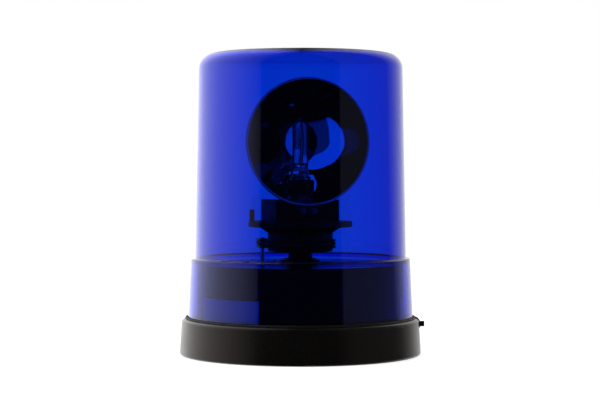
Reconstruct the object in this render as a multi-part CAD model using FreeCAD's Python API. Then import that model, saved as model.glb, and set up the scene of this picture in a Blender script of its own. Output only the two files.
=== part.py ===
import FreeCAD, Part
import math
import os

V = FreeCAD.Vector
ORIGIN = V(0, 0, 0)
UP = V(0, 0, 1)

# clearances
running_gap = 0.05      # radial, a shaft in its bush
seat_gap = 0.1          # radial, pieces pushed together by hand
lift_gap = 0.3          # between the lens and what it lifts past
screw_gap = 0.2         # radial, a screw in its clearance hole
housing_gap = 1.65      # between the housing and the collar's inside
rotor_gap = 1.6         # between the bulb's holder and what turns round it
head_room = 14.9        # above the mirror, inside the lens
pulley_gap = 3.5        # between the rims of the two pulleys

# lens: dome and collar in one moulding; its collar sets the beacon's width
collar_r = 77.85        # collar, where it leaves the seal
collar_draft = 1.9
collar_high = 41.8      # ring's top to the step
collar_skirt = 1.0      # above the ring the collar stays straight this far
step_width = 2.85
step_round = 1.5
step_inner_round = 0.8
step_blend = 4.0
dome_draft = 2.6
dome_corner_r = 10.5
crown_sphere_r = 1900.0
lens_wall = 2.8
lens_edge_round = 0.6

# base ring
ring_height = 25.0
ring_wall = 3.15        # at its top
ring_draft = 1.35
ring_foot_round = 1.5
shoulder_flat = 0.15
ledge_height = 4.0

# seal between the lens and the ring
seal_thick = 2.0
seal_lip = 0.75
seal_bead_height = 1.3
seal_bead_reach = 0.75
tab_width = 7.0
tab_thick = 0.6
tab_reach = 2.4         # below the lock screw's axis

# lens lock screw, radial at +X
lock_drop = 4.25        # its axis below the ring's top
lock_head_r = 1.95
lock_head_long = 2.8
lock_shank_r = 1.45

# housing under the deck
housing_wall = 2.5
housing_flange = 3.0
deck_drop = 4.0         # deck below the top of the step
deck_thick = 3.0
deck_round = 1.5

# bottom plate and what is in it
plate_thick = 4.0
insert_inset = 6.5      # inserts inside the housing's outside: a 130 mm circle
insert_count = 3
insert_bore_r = 3.4
insert_r = 5.0
insert_long = 16.0
insert_boss_wall = 1.4
insert_boss_cap = 3.0
boss_rib_thick = 2.5
boss_rib_deep = 6.0
bottom_screw_count = 6
bottom_screw_r = 1.5
bottom_screw_head_r = 2.7
bottom_screw_head = 2.0
bottom_screw_sink = 0.2
inlet_r = 3.6
grommet_r = 6.5
grommet_lip = 3.0
grommet_flange = 2.0

# bare labels on the housing, behind the collar; angles round +Z
label_thick = 0.3
label_above_ring = 1.0
label_high = 15.0
label_at = (-154.0, -22.0)      # degrees, where each starts
label_sweep = (42.0, 20.0)      # degrees

# fixed post in the middle
post_rise = 7.9         # deck to the rotor's shoulder
post_foot_r = 14.0
post_foot = 2.5
journal_r = 7.0
post_shoulder = 1.3
post_wall = 2.5
post_chamfer = 0.8
post_top_rise = 3.5     # above the rotor's sleeve
post_screw_count = 3
deck_screw_r = 1.25
deck_screw_head_r = 2.2
deck_screw_head = 1.5
deck_screw_long = 5.0
slot_width = 0.7

# rotor: bearings
washer_thick = 0.5
washer_lip = 2.0
bush_wall = 2.0
bush_long = 8.0
sleeve_wall = 3.0
sleeve_rise = 9.0       # above the platform
clip_thick = 0.9
clip_reach = 2.3
clip_groove = 0.7
clip_ear_r = 1.6
end_float = 0.5

# rotor: grooved pulley
groove_rise = 5.2       # rotor's foot to the middle of the groove
hub_high = 12.8
rim_thick = 1.0
belt_r = 1.1
belt_gap = 0.15
groove_mouth = 1.9      # half widths of the groove
groove_floor = 0.8
big_belt_r = 23.6       # belt's centre line on the large pulley
small_belt_r = 3.4      # belt's centre line on the motor's pulley
small_hub_high = 1.0

# rotor: carrier of the reflector
cone_high = 4.0
cone_flare = 6.2
platform_thick = 4.0
platform_lip = 7.3
platform_edge = 0.8
cradle_width = 45.6
cradle_high = 15.0
cradle_round = 2.0
lug_width = 3.3
lug_height = 8.0
lug_long = 6.0
lug_at = 163.0          # degrees round +Z, before the rotor's rest turn
arm_width = 14.0
arm_thick = 4.0
arm_tip_r = 6.0
arm_round = 5.7
arm_to_weight = 0.43357
weight_width = 40.0
weight_deep = 10.4
weight_drop = 1.0       # below the cradle's top
weight_screw_apart = 24.0
weight_screw_r = 1.5
weight_screw_head_r = 2.8
weight_screw_head = 1.8
weight_screw_grip = 5.6
rest_turn = 17.0        # degrees, reflector turned to the right of the front at rest

# reflector
mirror_r = 42.8
mirror_lip = 1.5
rim_ahead = 19.5        # rim plane ahead of the rotor's axis
mirror_wall = 1.2
mirror_rim = 1.2
foot_width = 18.0
foot_high = 7.1         # below the rim
foot_gap = 3.4          # above the platform
foot_round = 3.0
back_boss_r = 5.0
back_boss = 1.6
reflector_screw_apart = 8.6
reflector_screw_r = 1.3
reflector_screw_head_r = 2.4
reflector_screw_head = 1.4
reflector_screw_grip = 5.8

# motor under the deck
motor_at = 144.9        # degrees round +Z
shaft_r = 1.5
shaft_above_groove = 3.6
shaft_in_motor = 12.0
motor_r = 14.0
motor_long = 38.0
motor_chamfer = 1.2
motor_nose_r = 3.0
motor_nose = 2.2
motor_screw_apart = 17.0
end_cap_step = 0.6
end_cap_thick = 3.0
end_boss_r = 4.0
end_boss = 1.6
terminal_apart = 12.0
terminal_wide = 2.8
terminal_thick = 0.5
terminal_long = 5.0

# bulb, an H1: 25 mm from its flange to its light
bulb_flange_r = 7.25
bulb_flange = 1.2
flange_to_light = 25.0
bulb_cap_r = 5.6
bulb_cap_long = 7.5
bulb_collar_high = 3.0
bulb_collar_wall = 0.5
glass_r = 5.5
glass_wall = 0.9
glass_above_light = 17.2
glass_tip_r = 1.3
glass_tip_high = 2.2
glass_round = 4.0
glass_foot = 9.0        # solid foot, where the leads are sealed
hole_above_flange = 2.2
filament_r = 0.75
filament_long = 5.0
filament_lead = 0.6
filament_aside = 1.65
contact_wide = 6.3
contact_thick = 0.8
contact_long = 8.0
holder_wall = 2.6
holder_foot = 2.0
holder_floor = 2.0
holder_chamfer = 0.6
spring_wire_r = 0.45
spring_turn = 250.0     # degrees

# suppression parts and terminals on the bottom plate; places are x, y
choke_r = 5.0
choke_wire = 1.6
choke_long = 24.0
choke_end = 2.0
choke_at = (6.0, -40.0)
capacitor_size = (18.0, 8.0, 14.0)
capacitor_round = 1.0
capacitor_at = (-34.0, -22.0)
terminal_block_size = (30.0, 16.0, 12.0)
terminal_block_at = (34.0, 14.0)
terminal_ways = 3
terminal_hole_r = 2.4
terminal_hole_deep = 5.0
wire_hole_r = 1.9
wire_hole_deep = 4.0
terminal_groove = 1.2
terminal_groove_deep = 2.0

# worked out: radii
collar_top_r = collar_r - collar_draft
dome_foot_r = collar_top_r - step_width
seal_in_r = collar_r + lift_gap
seal_out_r = seal_in_r + seal_lip
ring_bore_r = seal_out_r + seat_gap
ring_top_r = ring_bore_r + ring_wall
ring_foot_r = ring_top_r + ring_draft
ring_shoulder_round = ring_wall - shoulder_flat
housing_r = collar_top_r - lens_wall - housing_gap
plate_r = ring_bore_r - seat_gap
insert_circle_r = housing_r - insert_inset
insert_boss_r = insert_r + insert_boss_wall
bottom_screw_circle_r = (housing_r + ring_bore_r) / 2
post_r = journal_r + post_shoulder
post_bore_r = journal_r - post_wall
post_screw_circle_r = (post_r + post_foot_r) / 2
bush_bore_r = journal_r + running_gap
bush_r = bush_bore_r + bush_wall
sleeve_r = bush_r + sleeve_wall
washer_r = bush_r + washer_lip
clip_r = journal_r + clip_reach
groove_floor_r = belt_r + belt_gap
rim_r = big_belt_r + belt_r
disc_r = big_belt_r - belt_r
small_rim_r = small_belt_r + groove_floor_r
platform_r = disc_r + cone_flare + platform_lip
holder_r = journal_r + holder_wall
bulb_hole_r = holder_r + rotor_gap
glass_hole_r = bulb_flange_r + rotor_gap / 2
mirror_rim_r = mirror_r + mirror_lip
motor_apart = rim_r + small_rim_r + pulley_gap

# worked out: heights, from the mounting face up
ledge_top = plate_thick + ledge_height
flange_top = ledge_top + housing_flange
lens_foot_z = flange_top + seal_thick
lock_z = ring_height - lock_drop
label_low_z = ring_height + label_above_ring
step_z = ring_height + collar_high
deck_top = step_z - deck_drop
deck_under = deck_top - deck_thick
post_foot_top = deck_top + post_foot
shoulder_z = deck_top + post_rise
rotor_foot_z = shoulder_z + washer_thick
groove_z = rotor_foot_z + groove_rise
hub_top_z = rotor_foot_z + hub_high
cone_top_z = hub_top_z + cone_high
platform_top_z = cone_top_z + platform_thick
sleeve_top_z = platform_top_z + sleeve_rise
clip_low_z = sleeve_top_z + end_float
journal_top_z = sleeve_top_z + post_top_rise
cradle_top_z = platform_top_z + cradle_high
weight_top_z = cradle_top_z - weight_drop
weight_screw_z = (platform_top_z + weight_top_z) / 2
foot_low_z = platform_top_z + foot_gap
reflector_screw_z = foot_low_z + foot_high / 2
light_z = foot_low_z + foot_high + mirror_rim_r
flange_z = light_z - flange_to_light
cap_seat_z = flange_z - bulb_flange
total_height = light_z + mirror_rim_r + head_room + lens_wall

# worked out: the mirror's parabola, with its focus on the rotor's axis
focal = (math.hypot(rim_ahead, mirror_r) - rim_ahead) / 2
mirror_depth = mirror_r ** 2 / (4 * focal)
cradle_front = rim_ahead - mirror_rim
arm_front = focal + mirror_wall + back_boss
cradle_back = arm_front + arm_thick + arm_to_weight




def ring_tube(outer_r, inner_r, low, high):
    outer = Part.makeCylinder(outer_r, high - low, V(0, 0, low))
    if inner_r <= 0:
        return outer
    return outer.cut(Part.makeCylinder(inner_r, high - low, V(0, 0, low)))


def rod(radius, start, end):
    run = end - start
    return Part.makeCylinder(radius, run.Length, start, run)


def block(width, depth, low, high, x=0, y=0):
    return Part.makeBox(width, depth, high - low, V(x - width / 2, y - depth / 2, low))


def around(count, radius, first=0):
    """Points spaced evenly on a circle about +Z."""
    turns = [math.radians(first + 360 / count * k) for k in range(count)]
    return [V(radius * math.cos(t), radius * math.sin(t), 0) for t in turns]


def turned_by(shape, degrees, centre=ORIGIN, axis=UP):
    copy = shape.copy()
    copy.rotate(centre, axis, degrees)
    return copy


def rounded_wire(corners):
    """Closed outline in the XZ plane; a corner is (x, z) or (x, z, radius)."""
    stops = []
    for k, corner in enumerate(corners):
        here = V(corner[0], 0, corner[1])
        if len(corner) < 3:
            stops.append((here, None, here))
            continue
        before = corners[k - 1]
        after = corners[(k + 1) % len(corners)]
        back = (V(before[0], 0, before[1]) - here).normalize()
        on = (V(after[0], 0, after[1]) - here).normalize()
        half = back.getAngle(on) / 2
        centre = here + (back + on).normalize() * (corner[2] / math.sin(half))
        middle = centre + (here - centre).normalize() * corner[2]
        reach = corner[2] / math.tan(half)
        stops.append((here + back * reach, middle, here + on * reach))
    edges = []
    for k, (start, middle, end) in enumerate(stops):
        last = stops[k - 1][2]
        if (start - last).Length > 1e-6:
            edges.append(Part.LineSegment(last, start).toShape())
        if middle is not None:
            edges.append(Part.Arc(start, middle, end).toShape())
    return Part.Wire(edges)


def turned(corners, degrees=360, start=0):
    """Outline turned about +Z, as on a lathe."""
    face = Part.Face(rounded_wire(corners))
    return turned_by(face.revolve(ORIGIN, UP, degrees), start)


def slotted_head(radius, height):
    """Screw head from z = 0 upwards, with a straight slot in its top."""
    return ring_tube(radius, 0, 0, height).cut(block(radius * 3, slot_width, height / 2, height))


def wall_r(z):
    """Outside radius of the dome's wall at height z."""
    return dome_foot_r - dome_draft * (z - step_z) / (total_height - step_z)


def ring_r(z):
    """Outside radius of the ring's wall at height z, under its shoulder."""
    return ring_foot_r - ring_draft * (z - ring_foot_round) / (ring_height - ring_foot_round)


def dome_curve(inset):
    """Wall, round and crown of the dome, moved inwards by inset; from foot to top."""
    along = V(-dome_draft, 0, total_height - step_z).normalize()
    outward = V(along.z, 0, -along.x)
    crown_centre = V(0, 0, total_height - crown_sphere_r)
    start = V(dome_foot_r, 0, step_z) - outward * dome_corner_r
    offset = start - crown_centre
    half_b = along.dot(offset)
    root = half_b ** 2 - offset.dot(offset) + (crown_sphere_r - dome_corner_r) ** 2
    centre = start + along * (math.sqrt(root) - half_b)
    radius = dome_corner_r - inset
    on_wall = centre + outward * radius
    up_crown = (centre - crown_centre).normalize()
    on_crown = centre + up_crown * radius
    middle = centre + (outward + up_crown).normalize() * radius
    top = V(0, 0, total_height - inset)
    crown_middle = crown_centre + (up_crown + UP).normalize() * (crown_sphere_r - inset)
    return on_wall, Part.Arc(on_wall, middle, on_crown), Part.Arc(on_crown, crown_middle, top), top


def lens():
    """Clear dome and collar in one moulding, the same wall all over."""
    out_wall, out_round, out_crown, out_top = dome_curve(0)
    in_wall, in_round, in_crown, in_top = dome_curve(lens_wall)
    step_under = step_z - lens_wall
    blend_z = step_z + step_blend
    skirt_z = ring_height + collar_skirt
    skirt = turned([
        (collar_r - lens_wall, lens_foot_z), (collar_r, lens_foot_z, lens_edge_round), (collar_r, skirt_z),
        (collar_top_r, step_z, step_round), (dome_foot_r, step_z, step_inner_round),
        (wall_r(blend_z), blend_z), (wall_r(blend_z) - lens_wall, blend_z),
        (wall_r(step_under) - lens_wall, step_under), (collar_top_r - lens_wall, step_under, lens_edge_round),
        (collar_r - lens_wall, skirt_z)])
    out_foot = V(wall_r(blend_z), 0, blend_z)
    in_foot = V(wall_r(blend_z) - lens_wall, 0, blend_z)
    edges = [Part.LineSegment(out_foot, out_wall).toShape(), out_round.toShape(), out_crown.toShape(),
             Part.LineSegment(out_top, in_top).toShape(), in_crown.toShape(), in_round.toShape(),
             Part.LineSegment(in_wall, in_foot).toShape(), Part.LineSegment(in_foot, out_foot).toShape()]
    dome = Part.Face(Part.Wire(Part.__sortEdges__(edges))).revolve(ORIGIN, UP, 360)
    return skirt.fuse(dome).removeSplitter()


def lens_seal():
    """Flat under the lens, a lip up its side, a bead on the ring's shoulder and a tab at the screw."""
    bead_top = ring_height + seal_bead_height
    seal = turned([
        (housing_r + seat_gap, flange_top), (seal_out_r, flange_top), (seal_out_r, ring_height),
        (seal_out_r + seal_bead_reach, ring_height),
        (seal_out_r + seal_bead_reach, bead_top, seal_bead_reach), (seal_in_r, bead_top),
        (seal_in_r, lens_foot_z), (housing_r + seat_gap, lens_foot_z)])
    sweep = math.degrees(tab_width / ring_foot_r)
    low = lock_z - tab_reach
    tab = turned([
        (ring_r(low), low), (ring_r(low) + tab_thick, low),
        (ring_top_r + tab_thick, ring_height + tab_thick, ring_shoulder_round + tab_thick),
        (seal_out_r, ring_height + tab_thick), (seal_out_r, ring_height),
        (ring_top_r, ring_height, ring_shoulder_round)], sweep, -sweep / 2)
    hole = rod(lock_shank_r + seat_gap, V(collar_r, 0, lock_z), V(ring_foot_r + tab_thick, 0, lock_z))
    return seal.fuse(tab).cut(hole)


def lens_lock_screw():
    """Radial screw at +X; its tip stands just off the collar."""
    seat = ring_r(lock_z) + tab_thick + lift_gap / 2
    head = turned_by(slotted_head(lock_head_r, lock_head_long), 90, axis=V(0, 1, 0))
    shank = rod(lock_shank_r, V(seal_in_r, 0, 0), V(seat, 0, 0))
    return head.translated(V(seat, 0, 0)).fuse(shank).translated(V(0, 0, lock_z))


def base_ring():
    """Outer ring: rounded shoulder above, a ledge inside for the housing, a recess below for the plate."""
    ring = turned([
        (ring_foot_r, 0, ring_foot_round), (ring_top_r, ring_height, ring_shoulder_round),
        (ring_bore_r, ring_height), (ring_bore_r, ledge_top),
        (housing_r + seat_gap, ledge_top), (housing_r + seat_gap, plate_thick),
        (ring_bore_r, plate_thick), (ring_bore_r, 0)])
    holes = [rod(bottom_screw_r + screw_gap, p + V(0, 0, plate_thick), p + V(0, 0, ledge_top))
             for p in bottom_screw_places()]
    lock_hole = rod(lock_shank_r + seat_gap, V(seal_in_r, 0, lock_z), V(ring_foot_r, 0, lock_z))
    return ring.cut(holes + [lock_hole])


def insert_places():
    return around(insert_count, insert_circle_r, 90)


def bottom_screw_places():
    return around(bottom_screw_count, bottom_screw_circle_r)


def post_screw_places():
    return around(post_screw_count, post_screw_circle_r, 90)


def motor_axis():
    return around(1, motor_apart, motor_at)[0]


def motor_screw_places():
    half = V(motor_screw_apart / 2, 0, 0)
    return [motor_axis() - half, motor_axis() + half]


def base_housing():
    """Moulded cup: deck above, flange for the seal, ribbed bosses for the mounting inserts."""
    inner_r = housing_r - housing_wall
    cup = turned([
        (housing_r, plate_thick), (housing_r, deck_top, deck_round), (0, deck_top),
        (0, deck_under), (inner_r, deck_under, deck_round), (inner_r, plate_thick)])
    flange = ring_tube(ring_bore_r - seat_gap, inner_r, ledge_top, flange_top)
    boss_top = insert_long + insert_boss_cap
    bosses = [ring_tube(insert_boss_r, 0, plate_thick, boss_top).translated(p) for p in insert_places()]
    rib = block(boss_rib_deep, boss_rib_thick, boss_top - insert_boss_cap, deck_under + deck_thick / 2,
                x=inner_r - boss_rib_deep / 2 + housing_wall / 2)
    ribs = [turned_by(rib, 90 + 360 / insert_count * k) for k in range(insert_count)]
    cup = cup.fuse([flange] + bosses + ribs).removeSplitter()
    outside = ring_tube(ring_foot_r, housing_r, plate_thick, ledge_top)
    cuts = [outside, ring_tube(post_bore_r, 0, deck_under, deck_top)]
    cuts += [ring_tube(insert_r, 0, plate_thick, insert_long).translated(p) for p in insert_places()]
    cuts += [rod(bottom_screw_r, p + V(0, 0, ledge_top), p + V(0, 0, flange_top))
             for p in bottom_screw_places()]
    cuts += [rod(deck_screw_r, p + V(0, 0, deck_under), p + V(0, 0, deck_top)) for p in post_screw_places()]
    cuts += [rod(deck_screw_r + seat_gap, p + V(0, 0, deck_under), p + V(0, 0, deck_top))
             for p in motor_screw_places()]
    cuts.append(ring_tube(motor_nose_r + seat_gap, 0, deck_under, deck_top).translated(motor_axis()))
    return cup.cut(cuts)


def bottom_plate():
    plate = ring_tube(plate_r, grommet_r + seat_gap, 0, plate_thick)
    cuts = [ring_tube(insert_r + seat_gap, 0, 0, plate_thick).translated(p) for p in insert_places()]
    for place in bottom_screw_places():
        cuts.append(ring_tube(bottom_screw_r + screw_gap, 0, 0, plate_thick).translated(place))
        cuts.append(ring_tube(bottom_screw_head_r + screw_gap, 0, 0, bottom_screw_head).translated(place))
    return plate.cut(cuts)


def mounting_inserts():
    tube = ring_tube(insert_r, insert_bore_r, 0, insert_long)
    return Part.makeCompound([tube.translated(p) for p in insert_places()])


def bottom_screws():
    """Heads sunk in the plate from below, shanks up into the housing's flange."""
    head = turned_by(slotted_head(bottom_screw_head_r, bottom_screw_head - bottom_screw_sink), 180,
                     axis=V(1, 0, 0)).translated(V(0, 0, bottom_screw_head))
    screw = head.fuse(ring_tube(bottom_screw_r, 0, bottom_screw_head, flange_top))
    return Part.makeCompound([screw.translated(p) for p in bottom_screw_places()])


def cable_grommet():
    """Rubber inlet: its groove grips the plate, its bore is open for the cable."""
    lip_r = grommet_r + grommet_lip
    return turned([
        (inlet_r, 0), (grommet_r, 0), (grommet_r, plate_thick), (lip_r, plate_thick),
        (lip_r, plate_thick + grommet_flange), (inlet_r, plate_thick + grommet_flange)])


def rating_label():
    """Bare labels on the housing, behind the collar."""
    band = [(housing_r, label_low_z), (housing_r + label_thick, label_low_z),
            (housing_r + label_thick, label_low_z + label_high), (housing_r, label_low_z + label_high)]
    return Part.makeCompound([turned(band, sweep, start)
                              for start, sweep in zip(label_at, label_sweep)])


def centre_post():
    """Fixed hollow post: foot on the deck, shoulder for the rotor, journal, clip groove."""
    groove_r = journal_r - clip_groove
    clip_top = clip_low_z + clip_thick
    post = turned([
        (post_bore_r, deck_top), (post_foot_r, deck_top), (post_foot_r, post_foot_top - post_chamfer),
        (post_foot_r - post_chamfer, post_foot_top), (post_r, post_foot_top),
        (post_r, shoulder_z), (journal_r, shoulder_z), (journal_r, clip_low_z), (groove_r, clip_low_z),
        (groove_r, clip_top), (journal_r, clip_top), (journal_r, journal_top_z),
        (post_bore_r, journal_top_z)])
    return post.cut([ring_tube(deck_screw_r, 0, deck_top, post_foot_top).translated(p)
                     for p in post_screw_places()])


def deck_screw():
    """Screw with its head standing on z = 0."""
    head = slotted_head(deck_screw_head_r, deck_screw_head)
    return head.fuse(ring_tube(deck_screw_r, 0, -deck_screw_long, 0))


def post_screws():
    seats = [p + V(0, 0, post_foot_top) for p in post_screw_places()]
    return Part.makeCompound([deck_screw().translated(seat) for seat in seats])


def motor_screws():
    seats = [p + V(0, 0, deck_top) for p in motor_screw_places()]
    return Part.makeCompound([deck_screw().translated(seat) for seat in seats])


def thrust_washer():
    return ring_tube(washer_r, bush_bore_r, shoulder_z, rotor_foot_z)


def retaining_ring():
    """Open clip in the post's groove, above the rotor's sleeve."""
    inner_r = journal_r - clip_groove
    high = clip_low_z + clip_thick
    clip = ring_tube(clip_r, inner_r, clip_low_z, high)
    mouth = block(clip_r, clip_r * 2, clip_low_z, high, y=clip_r)
    ears = [ring_tube(clip_ear_r, clip_ear_r / 3, clip_low_z, high).translated(
        V(side * (clip_r / 2 + clip_ear_r / 2), clip_r - clip_ear_r, 0)) for side in (-1, 1)]
    return clip.cut(mouth).fuse(ears).cut(ring_tube(inner_r, 0, clip_low_z, high)).removeSplitter()


def lower_bush():
    return ring_tube(bush_r, bush_bore_r, rotor_foot_z, rotor_foot_z + bush_long)


def upper_bush():
    return ring_tube(bush_r, bush_bore_r, sleeve_top_z - bush_long, sleeve_top_z)


def grooved(core_r, edge_r, belt_line_r, low, high):
    """Pulley from low to high, with a V groove for the belt between two rims."""
    floor_r = belt_line_r - groove_floor_r
    rim = groove_mouth + rim_thick
    return turned([
        (0, low), (core_r, low), (core_r, groove_z - rim), (edge_r, groove_z - rim),
        (edge_r, groove_z - groove_mouth), (floor_r, groove_z - groove_floor),
        (floor_r, groove_z + groove_floor), (edge_r, groove_z + groove_mouth),
        (edge_r, groove_z + rim), (core_r, groove_z + rim), (core_r, high), (0, high)])


def drive_pulley():
    """Grooved pulley, its hub, and the sleeve that holds both bushes."""
    wheel = grooved(disc_r, rim_r, big_belt_r, rotor_foot_z, hub_top_z)
    sleeve = ring_tube(sleeve_r, 0, hub_top_z, sleeve_top_z)
    return wheel.fuse(sleeve).cut(ring_tube(bush_r, 0, rotor_foot_z, sleeve_top_z)).removeSplitter()


def mirror_curve(wall):
    """Half outline of the bowl's skin, an exact parabola moved out by wall, and its radius at the mouth."""
    mouth_r = mirror_r + wall / math.cos(math.atan(2 * focal / mirror_r))
    curve = Part.BezierCurve()
    curve.setPoles([V(0, 0, -wall), V(mouth_r / 2, 0, -wall), V(mouth_r, 0, mirror_depth)])
    return curve.toShape(), mouth_r


def bowl_solid(wall, far):
    """Everything inside the bowl's skin, out as far as far; mirror's own frame."""
    skin, mouth_r = mirror_curve(wall)
    corners = [V(mouth_r, 0, mirror_depth), V(mouth_r, 0, far), V(0, 0, far), V(0, 0, -wall)]
    edges = [skin] + [Part.LineSegment(a, b).toShape() for a, b in zip(corners, corners[1:]) if a != b]
    return Part.Face(Part.Wire(edges)).revolve(ORIGIN, UP, 360)


def facing_front(shape):
    """From the mirror's own frame to the rotor's: mouth towards -Y, focus on the axis."""
    return turned_by(shape, 90, axis=V(1, 0, 0)).translated(V(0, focal, light_z))


def aimed(shape):
    """The rotor's rest turn about the axis."""
    return turned_by(shape, rest_turn)


def pair(apart):
    return (-apart / 2, apart / 2)


def reflector_carrier():
    """Cone and platform turned on the sleeve, cradle under the mirror's rim, arm behind it."""
    bore_r = sleeve_r + seat_gap
    disc = turned([
        (bore_r, hub_top_z), (disc_r, hub_top_z), (disc_r + cone_flare, cone_top_z),
        (platform_r, cone_top_z, platform_edge), (platform_r, platform_top_z, platform_edge),
        (bore_r, platform_top_z)])
    cradle = block(cradle_width, cradle_front + cradle_back, platform_top_z, cradle_top_z,
                   y=(cradle_back - cradle_front) / 2)
    upright = [e for e in cradle.Edges if abs(e.tangentAt(e.FirstParameter).z) > 0.9]
    cradle = cradle.makeFillet(cradle_round, upright)
    cradle = cradle.cut(facing_front(bowl_solid(mirror_wall + seat_gap, mirror_depth * 2)))
    arm_top = light_z + arm_tip_r
    arm = Part.Face(rounded_wire([
        (-arm_width / 2, platform_top_z), (arm_width / 2, platform_top_z),
        (arm_tip_r, arm_top, arm_round), (-arm_tip_r, arm_top, arm_round)]))
    arm = arm.extrude(V(0, arm_thick, 0)).translated(V(0, arm_front, 0))
    lug = block(lug_width, lug_long, platform_top_z, platform_top_z + lug_height,
                x=platform_r - lug_width / 2 - platform_edge)
    body = disc.fuse([cradle, arm, turned_by(lug, lug_at)])
    cuts = [ring_tube(bore_r, 0, platform_top_z, cradle_top_z)]
    for x in pair(reflector_screw_apart):
        cuts.append(rod(reflector_screw_r, V(x, -cradle_front, reflector_screw_z),
                        V(x, reflector_screw_grip - cradle_front, reflector_screw_z)))
    cuts.append(rod(reflector_screw_r, V(0, arm_front, light_z), V(0, arm_front + arm_thick, light_z)))
    cuts += [rod(weight_screw_r, V(x, cradle_back, weight_screw_z),
                 V(x, cradle_back - weight_screw_grip, weight_screw_z)) for x in pair(weight_screw_apart)]
    return aimed(body.cut(cuts))


def weight_head_y():
    """Seat of the weight's screw heads, under its curved back."""
    edge = math.sqrt(platform_r ** 2 - (weight_screw_apart / 2 + weight_screw_head_r) ** 2)
    return min(edge, cradle_back + weight_deep) - weight_screw_head


def balance_weight():
    """Steel block behind the cradle; its back follows the platform's edge."""
    bar = block(weight_width, weight_deep, platform_top_z, weight_top_z, y=cradle_back + weight_deep / 2)
    bar = bar.common(ring_tube(platform_r, 0, platform_top_z, weight_top_z))
    cuts = []
    for x in pair(weight_screw_apart):
        out = V(x, platform_r, weight_screw_z)
        cuts.append(rod(weight_screw_r + seat_gap, V(x, cradle_back, weight_screw_z), out))
        cuts.append(rod(weight_screw_head_r + seat_gap, V(x, weight_head_y(), weight_screw_z), out))
    return aimed(bar.cut(cuts))


def weight_screws():
    head = turned_by(slotted_head(weight_screw_head_r, weight_screw_head), -90, axis=V(1, 0, 0))
    screws = []
    for x in pair(weight_screw_apart):
        seat = V(x, weight_head_y(), weight_screw_z)
        tip = V(x, cradle_back - weight_screw_grip, weight_screw_z)
        screws.append(head.translated(seat).fuse(rod(weight_screw_r, tip, seat)))
    return aimed(Part.makeCompound(screws))


def reflector():
    """Pressed bowl with a rim, a boss behind and a foot below; open under the bulb."""
    bowl = bowl_solid(mirror_wall, mirror_depth).cut(bowl_solid(0, mirror_depth))
    rim = ring_tube(mirror_rim_r, mirror_r, mirror_depth - mirror_rim, mirror_depth)
    boss = ring_tube(back_boss_r, 0, -mirror_wall - back_boss, 0).cut(bowl_solid(0, mirror_depth))
    bowl = facing_front(bowl.fuse([rim, boss]))
    foot = Part.Face(rounded_wire([
        (-foot_width / 2, foot_low_z, foot_round), (foot_width / 2, foot_low_z, foot_round),
        (foot_width / 2, light_z - mirror_r), (-foot_width / 2, light_z - mirror_r)]))
    foot = foot.extrude(V(0, mirror_rim, 0)).translated(V(0, -rim_ahead, 0))
    foot = foot.cut(rod(mirror_r, V(0, -rim_ahead, light_z), V(0, 0, light_z)))
    cuts = [ring_tube(bulb_hole_r, 0, foot_low_z, flange_z + hole_above_flange),
            ring_tube(glass_hole_r, 0, foot_low_z, light_z)]
    for x in pair(reflector_screw_apart):
        cuts.append(rod(reflector_screw_r + seat_gap, V(x, -rim_ahead, reflector_screw_z),
                        V(x, -cradle_front, reflector_screw_z)))
    cuts.append(rod(reflector_screw_r, V(0, focal + mirror_wall, light_z), V(0, arm_front, light_z)))
    return aimed(bowl.fuse(foot).cut(cuts))


def reflector_screws():
    """Two through the foot into the cradle, one through the arm into the boss."""
    head = turned_by(slotted_head(reflector_screw_head_r, reflector_screw_head), 90, axis=V(1, 0, 0))
    screws = []
    for x in pair(reflector_screw_apart):
        seat = V(x, -rim_ahead, reflector_screw_z)
        tip = V(x, reflector_screw_grip - cradle_front, reflector_screw_z)
        screws.append(head.translated(seat).fuse(rod(reflector_screw_r, seat, tip)))
    back = V(0, arm_front + arm_thick, light_z)
    screws.append(turned_by(head, 180).translated(back).fuse(
        rod(reflector_screw_r, back, V(0, focal + mirror_wall, light_z))))
    return aimed(Part.makeCompound(screws))


def drive_belt():
    """Round belt: an arc on each pulley and two straight runs."""
    facing = math.radians(motor_at)
    lean = math.asin((big_belt_r - small_belt_r) / motor_apart)
    arcs = []
    for centre, radius, middle, half in (
            (ORIGIN, big_belt_r, facing + math.pi, math.pi / 2 + lean),
            (motor_axis(), small_belt_r, facing, math.pi / 2 - lean)):
        disc = Part.Face(Part.Wire(Part.makeCircle(belt_r, V(radius, 0, 0), V(0, 1, 0))))
        arc = disc.revolve(ORIGIN, UP, math.degrees(2 * half))
        arcs.append(turned_by(arc, math.degrees(middle - half)).translated(centre))
    runs = []
    for side in (-1, 1):
        turn = facing + side * (math.pi / 2 - lean)
        out = V(math.cos(turn), math.sin(turn), 0)
        runs.append(rod(belt_r, out * big_belt_r, motor_axis() + out * small_belt_r))
    return arcs[0].fuse([arcs[1]] + runs).translated(V(0, 0, groove_z))


def motor_can():
    """Steel can under the deck, with the nose that stands in the deck's hole."""
    low = deck_under - motor_long
    nose_top = deck_under + motor_nose
    can = turned([
        (0, low), (motor_r - motor_chamfer, low), (motor_r, low + motor_chamfer),
        (motor_r, deck_under - motor_chamfer), (motor_r - motor_chamfer, deck_under),
        (motor_nose_r, deck_under), (motor_nose_r, nose_top), (0, nose_top)])
    bore = ring_tube(shaft_r + running_gap, 0, deck_under - shaft_in_motor, nose_top)
    taps = [ring_tube(deck_screw_r, 0, deck_top - deck_screw_long, deck_under).translated(p - motor_axis())
            for p in motor_screw_places()]
    return can.cut([bore] + taps).translated(motor_axis())


def motor_end_cap():
    high = deck_under - motor_long
    low = high - end_cap_thick
    cap = ring_tube(motor_r - end_cap_step, 0, low, high).fuse(ring_tube(end_boss_r, 0, low - end_boss, low))
    return cap.removeSplitter().translated(motor_axis())


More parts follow.
